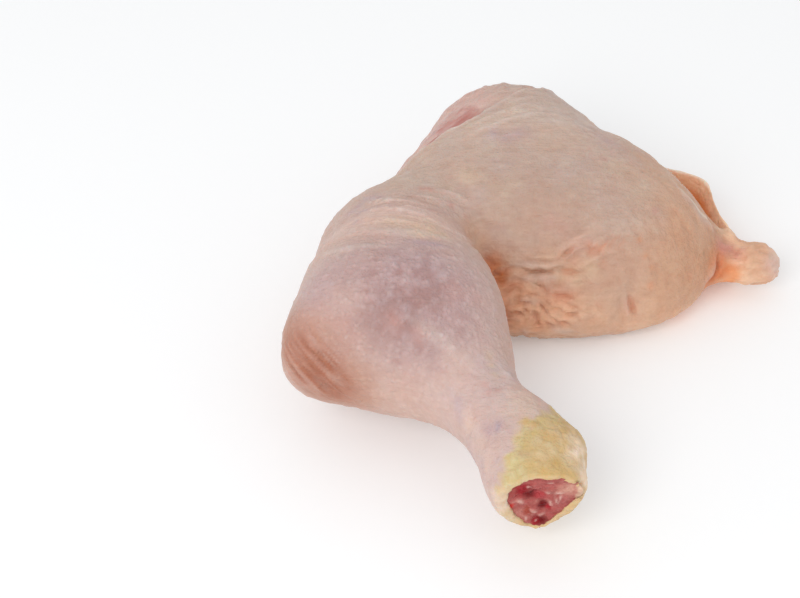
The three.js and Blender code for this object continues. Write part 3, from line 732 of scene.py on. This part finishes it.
# Bare meat at the hip, under a thin veil where it ends, and its red streaks: line, half-width, strength.
HIP_STREAKS = [
    ([(434, 134), (446, 125), (458, 117), (468, 109), (481, 102)], 3.1, 0.95),
    ([(431, 133), (437, 123), (446, 114)], 2.8, 0.6),
    ([(446, 117), (456, 108), (468, 101)], 2.2, 0.5),
    ([(458, 111), (468, 106), (479, 100)], 2.8, 0.85),
]
veil = step(x, -19, -8)
tint(MEAT, meat * (1 - 0.5 * veil))
fibre = layered(grain, (1.3, 0.7, 0.7), 2, 22)
redder = step(0.8 * bundles + 0.7 * fibre + 1.1 * step(past_edge, 5.0, 0.5), 0.1, 1.7)
tint(MEAT_DARK, meat * (1 - 0.85 * veil) * redder * 0.9)
tint(BEIGE, meat * veil * 0.45)
vary(meat * fibre, 0.03, 0.09, 0.09)
for pixels, width, strength in HIP_STREAKS:
    streak = stroke(place, seen(pixels), width)
    tint(MEAT_RED, streak * meat * strength * (1 + 0.5 * fibre))
tint(SHEER_SKIN_AND_HIGHLIGHT, np.exp(-(((past_edge + 0.7) / 0.6) ** 2)) * step(limb, 0.5, 0.1) * 0.5)

# The fold of back skin and the tail. The fold is painted bright peach, its own colour lifted by painted
# light that stands in for light shining through the thin skin; painted shade in orange lies low on its
# inner face by the thigh's edge, and a painted highlight runs along its top rim.
fold_skin = step(thigh_reach, 1.03, 1.12) * step(x, 34, 40) * thigh
tint(FOLD_PEACH_GLOW, fold_skin * 0.95)
fold_share = np.clip((FOLD_LINE[0][1] - y) / (FOLD_LINE[0][1] - FOLD_LINE[-1][1]), 0, 1)
below_rim = FOLD_TOP * (1 - 0.16 * fold_share) - z
shade_under_rim = step(below_rim, 3.0 - fold_share, 6.4 - 2.6 * fold_share) * step(x, 60, 56)
tint(FOLD_SHADE_ORANGE, fold_skin * shade_under_rim * 0.95)
tint(FOLD_RIM_HIGHLIGHT, fold_skin * step(below_rim, 1.1, 0.3) * step(x, 54, 51.5) * 0.8)
tint(TAIL_TAN, step(x, 57, 61) * 0.85)
tint(TAIL_PALE, tail * step(mottle, 0.1, 0.9) * 0.6)
tint(TAIL_TIP, step(x, 64.5, 69) * step(z, 5, 10) * 0.55)
# Painted highlight and shade on the tail's folds: lighter where they stand up, darker where they sink.
vary(tail * folds, 0.04, 0.08, 0.10)

# Washes of colour laid here and there, a few of them painted light or shade: the colour, the places, the
# radius and the strength.
WASHES = [
    (LAVENDER, [(497, 133), (508, 137), (520, 134)], 3.2, 0.6),
    (LAVENDER, [(608, 142)], 3, 0.5),
    ((0.65, 0.465, 0.315), [(398, 222), (414, 226), (430, 226)], 4.5, 0.5),
    (LAVENDER, [(352, 212), (360, 205), (372, 198), (358, 222)], 2, 0.55),
    ((0.56, 0.27, 0.21), [(424, 189), (430, 190), (450, 205)], 1.3, 0.8),
    (ROSE, [(430, 209), (436, 211), (443, 193), (604, 159), (655, 211)], 1.1, 0.55),
    (FAT, [(470, 176)], 3.4, 0.8),
    (FAT, [(617, 168), (640, 190)], 3.5, 0.5),
    (ROSE, [(552, 222), (560, 226)], 2.4, 0.3),
    (LAVENDER, [(362, 212), (372, 210), (384, 208)], 2, 0.75),
    (LAVENDER, [(366, 199), (380, 198)], 1.5, 0.5),
    (FAT, [(418, 234), (430, 235), (442, 237)], 2.2, 0.8),
    (ROSE, [(466, 217), (466, 232), (440, 202), (452, 196)], 1.1, 0.5),
    (PEACH, [(470, 232), (478, 244)], 3.5, 0.6),
    (ROSE, [(395, 322), (420, 335), (455, 293), (475, 297)], 2.6, 0.4),
    (PINK, [(345, 300), (330, 330), (352, 350)], 6, 0.35),
    (ROSE, [(345, 322), (350, 340)], 3.2, 0.3),
    (FAT, [(489, 356), (492, 366), (495, 374)], 1.3, 0.7),
    (ROSE, [(485, 385), (489, 392), (497, 390)], 1, 0.65),
    (ROSE, [(505, 378), (517, 395)], 0.8, 0.5),
    (LAVENDER, [(488, 430), (498, 425)], 1.9, 0.8),
    ((0.42, 0.33, 0.36), [(498, 425), (497, 430)], 0.7, 0.6),
    ((0.7, 0.5, 0.4), [(470, 425), (480, 445), (488, 465)], 2.6, 0.5),
    ((0.46, 0.3, 0.19), [(521, 453), (527, 454)], 1, 0.6),
    ((0.6, 0.5, 0.28), [(520, 465), (526, 472)], 3, 0.7),
    ((0.89, 0.71, 0.55), [(579, 448), (582, 464), (582, 480), (577, 456), (579, 474)], 3.4, 0.9),
    ((0.74, 0.56, 0.42), [(499, 500), (503, 510), (508, 518)], 3.4, 0.7),
    ((0.64, 0.43, 0.18), [(540, 470), (552, 470), (562, 474)], 3.4, 0.8),
    ((0.6, 0.36, 0.14), [(526, 421), (534, 425), (543, 431)], 1.1, 0.6),
    ((0.62, 0.39, 0.17), [(548, 436), (556, 437), (565, 441)], 1.3, 0.5),
    ((0.64, 0.52, 0.33), [(536, 444), (550, 446)], 2.2, 0.5),
    (LIME, [(514, 476), (517, 468), (512, 484)], 1.6, 0.8),
    ((0.4, 0.22, 0.13), [(704, 253)], 0.9, 0.5),
    ((0.6, 0.27, 0.215), [(722, 248), (729, 250), (736, 253)], 2.7, 0.9),
    (LAVENDER, [(699, 215)], 1, 0.5),
    (LAVENDER, [(772, 264)], 3, 0.35),
    (CREAM, [(560, 276), (575, 277), (590, 270)], 2.6, 0.35),
    # Painted light: lighter apricot low on the skirt, as if lit by light bounced up from the table.
    (TABLE_BOUNCE_APRICOT, [(600, 318), (625, 322), (650, 312)], 6, 0.5),
    # Painted light: a bright peach wash over the lower skirt beside the drumstick, standing in for light
    # bounced up from the table.
    ((0.9, 0.55, 0.35), [(508, 300), (520, 298), (535, 305), (520, 318), (540, 320),
      (555, 312)], 6.5, 0.85),
    (RAW, [(508, 304), (516, 300), (520, 316), (530, 322)], 5, 0.22),
    (RAW, [(555, 298), (575, 302), (540, 326)], 3, 0.22),
    # Painted shade: deep orange in the hollow under the thigh's overhanging edge.
    ((0.68, 0.215, 0.07), [(716, 262), (718, 272), (712, 278), (722, 268)], 3.4, 1),
    (PEACH, [(545, 262), (575, 262), (560, 290)], 5, 0.35),
    ((0.7, 0.3, 0.15), [(640, 240), (646, 256)], 0.9, 0.4),
    ((0.7, 0.3, 0.15), [(652, 268), (650, 284)], 0.9, 0.4),
    (FAT, [(512, 272), (540, 275)], 3, 0.4),
    (ROSE, [(562, 292), (548, 288), (575, 250), (585, 244)], 3, 0.35),
]
for colour, pixels, radius, strength in WASHES:
    tint(colour, spots_at(place, pixels, radius) * strength * (1 + 0.35 * speck))

# Painted shade in deep raw orange between the drumstick and the thigh, on the thigh's side alone.
BETWEEN = [(482, 260), (490, 267), (498, 276), (498, 290)]
between = spots_at(place, BETWEEN, 3.7)
tint(DEEP_SHADE_ORANGE, between * (1 - limb) * (1 + 0.35 * speck))

# The lavender band where the drumstick's muscle starts, and rusty streaks low on the calf, darkened by
# painted shade where the calf turns under.
BAND = [(397, 240), (415, 242), (435, 244), (456, 250)]
CALF, CALF_RADII = [(300, 352), (318, 368), (332, 386)], (8, 9, 8)
CALF_SIDE, CALF_SIDE_RADII = [(288, 338), (308, 344), (346, 396), (350, 380)], (9, 8, 9, 7)
tint(LAVENDER, stroke(place, seen(BAND), 1.7) * 0.85)
streaks = stripes(place, seen(CALF_LINE), 15, 0.8, 77)
calf = spots_at(place, CALF, CALF_RADII, 3) * limb
calf_side = spots_at(place, CALF_SIDE, CALF_SIDE_RADII, 3) * limb
tint(RUST_AND_SHADE, calf * (0.88 + 0.5 * streaks))
tint(CALF_BROWN_AND_SHADE, calf_side * (0.75 + 0.5 * streaks) * (1 - 0.8 * calf))

# A thin pale rim round the cut, and pale edges of skin at the hip and beside the tail.
rim = step(np.abs((CUT_AT - place) @ CUT_OUT), 0.5, 0.1)
tint(CUT_RIM, rim * 0.35)
HIP_EDGE = [(427, 143), (440, 136), (457, 127), (470, 117), (480, 109)]
tint(HIP_PALE, stroke(place, seen(HIP_EDGE), 0.7) * 0.85)
FLAP_EDGE = [(667, 173), (681, 190), (694, 204), (705, 217), (717, 228), (726, 236)]
tint(FLAP_PALE, stroke(place, seen(FLAP_EDGE), 0.7) * 0.9)

# Raw orange with painted shade in every crease, and a painted highlight on every ridge.
tint(CREASE_SHADE_ORANGE, crease_raw_and_shade * 0.8 * (1 - limb))
tint(SHEER_SKIN_AND_HIGHLIGHT, ridge_highlight * 0.38 * (1 - crease_raw_and_shade))
# Tone that differs at random.
vary(speck, 0.025, 0.03, 0.035)
vary(mottle, 0.01, 0.04, 0.05)
vary(blotch, 0.01, -0.025, -0.06)
# Painted highlight and shade on the relief: lighter where it stands up, darker where it sinks; the pimples
# are also pale of their own.
vary(creep * (1 - limb), 0.035, 0.05, 0.055)
vary(lines * 5, 0.09, 0.12, 0.13)
vary(right * grooves, 0.02, 0.04, 0.05)
vary(loose * folds, 0.03, 0.06, 0.08)
vary(pimple * bumpy, 0.12, 0.19, 0.20)

skin.paint("tone", tone)
skin.weigh("scaly", yellow)
skin.weigh("creased", cross * (1 - 0.8 * muscle) * (1 - yellow) * (1 - 0.5 * shank))
skin.weigh("bumpy", np.clip(bumpy * cross * (1 - 0.7 * yellow), 0, 1))

# -------------------- the core in the cut

CORE_CELL, CORE_GROWTH, CORE_SPREAD, CORE_SMOOTHING_ROUNDS = 0.42, 0.9, 0.12, 5
core = dense_copy("shin_bone", "shank_core", CORE_CELL)
bone = Surface(core)
face = step((bone.at - CUT_AT) @ CUT_OUT + CORE_SET_BACK, -0.5, -0.15)
bone.relax(CORE_SMOOTHING_ROUNDS, 0.3)
bone.at += bone.normals() * (CORE_GROWTH * (1 - face))[:, None]
bone.at += sag(bone.at)
outwards, from_middle = from_core(bone.at)
bone.at += outwards * (CORE_SPREAD * from_middle * face)[:, None]

# Right and up on the cut's face. What is laid there is moved a little, to match the photo.
LAID_RIGHT, LAID_DOWN = 0.4, 0.35
u = (bone.at - CUT_AT)[:, 0] - LAID_RIGHT
v = (bone.at - CUT_AT) @ CUT_UP + LAID_DOWN
flat = np.column_stack([u, v, np.zeros(len(u))])
ragged_u = u + 0.3 * layered(flat, 1.6, 2, 96)
ragged_v = v + 0.4 * layered(flat, 1.6, 2, 97)


def patch(pixel, radii, power=1):
    """1 at a pixel of the photo on the cut face, falling to 0 round it, with a ragged edge."""
    right, up = on_cut([pixel])[0]
    away = ((ragged_u - right) / radii[0]) ** 2 + ((ragged_v - up) / radii[1]) ** 2
    return np.exp(-(away**power))


FLESH_RED = (0.375, 0.08, 0.072)
FLESH_PINK = (0.52, 0.205, 0.17)
CRIMSON = (0.31, 0.008, 0.016)
CLOT = (0.14, 0.001, 0.003)
SINEW = (0.68, 0.43, 0.37)
DARK_RED = (0.36, 0.06, 0.055)
BLOOD = (0.6, 0.015, 0.012)
PALE_TIP = (0.7, 0.48, 0.34)

# Areas of the cut face: the middle, the half-widths, the colour and its strength.
AREAS = [
    ((519, 513), (3, 3.2), FLESH_PINK, 0.85),
    ((567, 489), (2.8, 2.4), (0.64, 0.33, 0.25), 0.9),
    ((562, 500), (2.6, 2.6), (0.4, 0.11, 0.1), 0.85),
    ((538, 485), (3.4, 1.3), (0.42, 0.1, 0.09), 0.8),
    ((545, 524), (1.6, 1.2), FLESH_PINK, 0.5),
    ((529, 524), (1.2, 1.2), (0.52, 0.17, 0.16), 0.6),
]
# Pits of dark marrow and blood: the middle, the half-widths, the depth and the colour.
PITS = [
    ((520, 490), (1.5, 2.6), 0.35, CRIMSON),
    ((525, 487), (1.3, 1.3), 0.25, CRIMSON),
    ((530.5, 494.5), (2.1, 2.1), 0.5, CLOT),
    ((538.5, 495), (1.7, 1.8), 0.2, (0.42, 0.05, 0.055)),
    ((541, 504), (1.5, 2.1), 0.5, CLOT),
    ((547, 506), (0.7, 1.1), 0.3, CRIMSON),
    ((525, 510), (1, 2.4), 0.35, (0.33, 0.05, 0.03)),
    ((538, 519.5), (2, 2.1), 0.5, CLOT),
    ((533.5, 521), (1.1, 1.8), 0.3, CRIMSON),
    ((546, 484), (1.1, 0.4), 0.2, (0.35, 0.08, 0.07)),
    ((551, 492), (0.6, 0.5), 0.2, (0.33, 0.12, 0.1)),
]
# Pale sinews, and one painted glint: the line, its half-width and its height.
SINEWS = [
    ([(514.5, 497.5), (519, 501), (523.5, 503.7)], 0.4, 0.35),
    ([(527.5, 507.5), (532, 509.5), (536.5, 511)], 0.4, 0.4),
    ([(551.5, 495), (558, 492.5), (565, 492)], 0.5, 0.45),
    ([(552.5, 495), (555, 499), (557.5, 503)], 0.3, 0.3),
    ([(559, 494), (559, 497.5), (558, 500)], 0.3, 0.25),
    ([(535, 513.5), (539, 513), (543.5, 511)], 0.45, 0.3),
    ([(543, 490.5), (546, 492), (549.5, 494)], 0.4, 0.3),
    ([(523.5, 514.5), (524, 517), (525, 520)], 0.3, 0.25),
    ([(544, 482), (548, 482), (553, 483)], 0.45, 0.2),
    ([(525, 489), (527, 487), (531, 487)], 0.3, 0.25),
    ([(547, 498), (549, 502), (549, 506)], 0.35, 0.25),
    # The last is no sinew but a painted glint on the wet face.
    ([(533.5, 522.5), (534.5, 521), (535, 519)], 0.22, 0.3),
]
height = 0.35 * layered(flat, 3.2, 3, 91) + 0.2 * layered(flat, 1.2, 2, 92)
tone = np.tile(np.array(FLESH_RED), (len(u), 1))
tint(FLESH_PINK, step(layered(flat, 2.6, 3, 93), 0.1, 0.9) * 0.6)
tint(DARK_RED, step(layered(flat, 2.0, 2, 94), 0.1, 0.8) * 0.6)
for pixel, radii, colour, strength in AREAS:
    tint(colour, patch(pixel, radii) * strength)
for pixel, radii, depth, colour in PITS:
    height -= depth * patch(pixel, radii)
    tint(colour, patch(pixel, radii, 2) * 0.97)
for pixels, width, rise in SINEWS:
    mask = stroke(flat, [(right, up, 0) for right, up in on_cut(pixels)], width)
    height += rise * mask
    tint(SINEW, mask * 0.7)
DROP_OF_BLOOD = (509.5, 505.5)
PALE_TIP_FROM, PALE_TIP_WHOLE = 7.6, 8.6
tint(BLOOD, patch(DROP_OF_BLOOD, (0.7, 0.8), 2))
tint(PALE_TIP, step(ragged_u, PALE_TIP_FROM, PALE_TIP_WHOLE) * 0.9)
bone.at += CUT_OUT * (face * (height + 0.05))[:, None]
bone.write()
bone.paint("tone", tone)

# -------------------- materials


class Paint:
    """A material's nodes, with its textures laid in the object's own space."""

    def __init__(self, name):
        self.material = bpy.data.materials.new(name)
        self.material.use_nodes = True
        self.nodes = self.material.node_tree.nodes
        self.links = self.material.node_tree.links
        self.shader = self.nodes["Principled BSDF"]
        self.where = self.node("TexCoord").outputs["Object"]
        self.tone = self.node("Attribute", attribute_name="tone").outputs["Color"]

    def node(self, kind, **settings):
        new = self.nodes.new("ShaderNode" + kind)
        for key, value in settings.items():
            setattr(new, key, value)
        return new

    def set(self, **values):
        for key, value in values.items():
            self.shader.inputs[key.replace("_", " ")].default_value = value

    def stretched(self, along):
        """Coordinates in which textures are longer than they are wide."""
        mapping = self.node("Mapping")
        self.links.new(self.where, mapping.inputs["Vector"])
        mapping.inputs["Scale"].default_value = along
        return mapping.outputs["Vector"]

    def texture(self, kind, scale, where=None, **sockets):
        new = self.node("Tex" + kind)
        self.links.new(where or self.where, new.inputs["Vector"])
        new.inputs["Scale"].default_value = scale
        for key, value in sockets.items():
            new.inputs[key].default_value = value
        return new

    def remap(self, source, low, high, to_low, to_high):
        new = self.node("MapRange")
        self.links.new(source, new.inputs["Value"])
        for key, value in zip(("From Min", "From Max", "To Min", "To Max"), (low, high, to_low, to_high)):
            new.inputs[key].default_value = value
        return new.outputs["Result"]

    def vector(self, operation, a, b):
        new = self.node("VectorMath", operation=operation)
        for socket, value in zip(new.inputs, (a, b)):
            if isinstance(value, tuple):
                socket.default_value = value
            else:
                self.links.new(value, socket)
        return new.outputs["Vector"]

    def grain(self, colour, value, amounts, middle=0.5):
        """The colour made lighter and darker by a value, by its own amount in each primary."""
        around = self.vector("SUBTRACT", value, (middle, middle, middle))
        factor = self.vector("ADD", self.vector("MULTIPLY", around, amounts), (1.0, 1.0, 1.0))
        return self.vector("MULTIPLY", colour, factor)

    def amount(self, name):
        """The number that the mesh's points carry under this name."""
        return self.node("Attribute", attribute_name=name).outputs["Fac"]

    def rough(self, source, low, high):
        """Roughness from low to high, in step with a noise."""
        roughness = self.remap(source, 0.3, 0.7, low, high)
        self.links.new(roughness, self.shader.inputs["Roughness"])

    def times(self, a, b):
        new = self.node("Math", operation="MULTIPLY")
        self.links.new(a, new.inputs[0])
        self.links.new(b, new.inputs[1])
        return new.outputs["Value"]

    def add(self, a, b, share):
        new = self.node("Math", operation="MULTIPLY_ADD")
        self.links.new(b, new.inputs[0])
        new.inputs[1].default_value = share
        self.links.new(a, new.inputs[2])
        return new.outputs["Value"]

    def finish(self, colour, height, strength, distance):
        bump = self.node("Bump")
        bump.inputs["Strength"].default_value = strength
        bump.inputs["Distance"].default_value = distance
        self.links.new(height, bump.inputs["Height"])
        self.links.new(bump.outputs["Normal"], self.shader.inputs["Normal"])
        self.links.new(colour, self.shader.inputs["Base Color"])
        return self.material


def chicken_skin():
    paint = Paint("chicken_skin")
    grain_fine = paint.texture("Noise", 1500, Detail=3)
    grain_mid = paint.texture("Noise", 480, Detail=4)
    grain_long = paint.texture("Noise", 900, where=paint.stretched((0.14, 1, 1)), Detail=3)
    colour = paint.grain(paint.tone, grain_fine.outputs[0], (0.1, 0.16, 0.2))
    colour = paint.grain(colour, grain_mid.outputs[0], (0.12, 0.2, 0.24))
    colour = paint.grain(colour, grain_long.outputs[0], (0.06, 0.1, 0.11))
    height = paint.add(grain_fine.outputs[0], grain_mid.outputs[0], 1.5)
    height = paint.add(height, grain_long.outputs[0], 1.2)
    pimples = paint.texture("Voronoi", 560)
    raised = paint.remap(pimples.outputs["Distance"], 0.0, 0.5, 1, 0)
    raised = paint.times(raised, paint.amount("bumpy"))
    # Pimples paler where they stand up: their own pale colour and a painted highlight.
    colour = paint.grain(colour, raised, (0.12, 0.17, 0.18), 0.12)
    wrinkles = paint.texture("Noise", 300, where=paint.stretched((0.24, 1, 1)), Detail=3, Distortion=0.8)
    line = paint.remap(wrinkles.outputs[0], 0.43, 0.5, 0, 1)
    line = paint.times(line, paint.remap(wrinkles.outputs[0], 0.5, 0.57, 1, 0))
    line = paint.times(line, paint.amount("creased"))
    # Painted shade in the fine wrinkles.
    colour = paint.grain(colour, line, (-0.015, -0.03, -0.035), 0.2)
    height = paint.add(height, line, -0.22)
    cells = paint.texture("Voronoi", 430)
    gaps = paint.remap(cells.outputs["Distance"], 0.3, 0.62, 0, 1)
    gaps = paint.times(gaps, paint.amount("scaly"))
    colour = paint.grain(colour, gaps, (-0.02, -0.06, -0.15), 0.35)
    height = paint.add(height, gaps, -0.8)
    height = paint.add(height, raised, 1.2)
    paint.rough(grain_mid.outputs[0], 0.36, 0.54)
    paint.set(Subsurface_Weight=0.25, Subsurface_Radius=(1.0, 0.4, 0.25), Subsurface_Scale=0.0010)
    paint.set(Specular_IOR_Level=0.3)
    return paint.finish(colour, height, 0.6, 0.0004)


def cut_flesh():
    paint = Paint("cut_flesh")
    fibres = paint.texture("Noise", 1100, Detail=4)
    clots = paint.texture("Noise", 420, Detail=3)
    colour = paint.grain(paint.tone, fibres.outputs[0], (0.5, 0.9, 0.9))
    colour = paint.grain(colour, clots.outputs[0], (0.6, 1.1, 1.1))
    height = paint.add(fibres.outputs[0], clots.outputs[0], 1.5)
    paint.rough(fibres.outputs[0], 0.15, 0.35)
    paint.set(Subsurface_Weight=0.05, Subsurface_Radius=(1.0, 0.25, 0.2), Subsurface_Scale=0.0004)
    paint.set(Specular_IOR_Level=0.1)
    return paint.finish(colour, height, 0.8, 0.0005)


flesh.data.materials.append(chicken_skin())
core.data.materials.append(cut_flesh())

for piece, cad_node, slot in ((flesh, "leg", "skin"), (core, "shin_bone", "bone_and_sinew")):
    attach(piece, "root")
    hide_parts(cad_node)

# -------------------- floor, light and camera

floor_mesh = bpy.data.meshes.new("floor")
FLOOR_HALF = 1.5
floor_corners = [(a * FLOOR_HALF, b * FLOOR_HALF, 0) for a, b in ((-1, -1), (1, -1), (1, 1), (-1, 1))]
floor_mesh.from_pydata(floor_corners, [], [(0, 1, 2, 3)])
floor = bpy.data.objects.new("floor", floor_mesh)
bpy.context.scene.collection.objects.link(floor)
pale_floor = Paint("pale_floor")
pale_floor.set(Base_Color=(0.86, 0.87, 0.88, 1), Roughness=0.8)
pale_floor.set(Emission_Color=(1, 1, 1, 1), Emission_Strength=0.16)
floor_mesh.materials.append(pale_floor.material)

world = bpy.data.worlds.new("studio")
world.use_nodes = True
world.node_tree.nodes["Background"].inputs["Color"].default_value = (1, 1, 1, 1)
world.node_tree.nodes["Background"].inputs["Strength"].default_value = 0.78
bpy.context.scene.world = world

# One soft lamp shines on the middle of the table from the left, in front and above.
LAMP_AT = Vector((-0.34, -0.66, 0.56))
lamp = bpy.data.lights.new("key", "AREA")
lamp.shape = "DISK"
lamp.size = 0.5
lamp.energy = 2.9
key = bpy.data.objects.new("key", lamp)
key.location = LAMP_AT
key.rotation_euler = (-LAMP_AT).to_track_quat("-Z", "Y").to_euler()
bpy.context.scene.collection.objects.link(key)

camera = bpy.data.objects.new("camera", bpy.data.cameras.new("camera"))
camera.location = EYE * MM
camera.rotation_euler = (np.pi / 2 - ELEVATION, 0, 0)
camera.data.lens = FOCAL
camera.data.sensor_width = SENSOR
bpy.context.scene.collection.objects.link(camera)
bpy.context.scene.camera = camera
bpy.context.scene.view_settings.view_transform = "Standard"
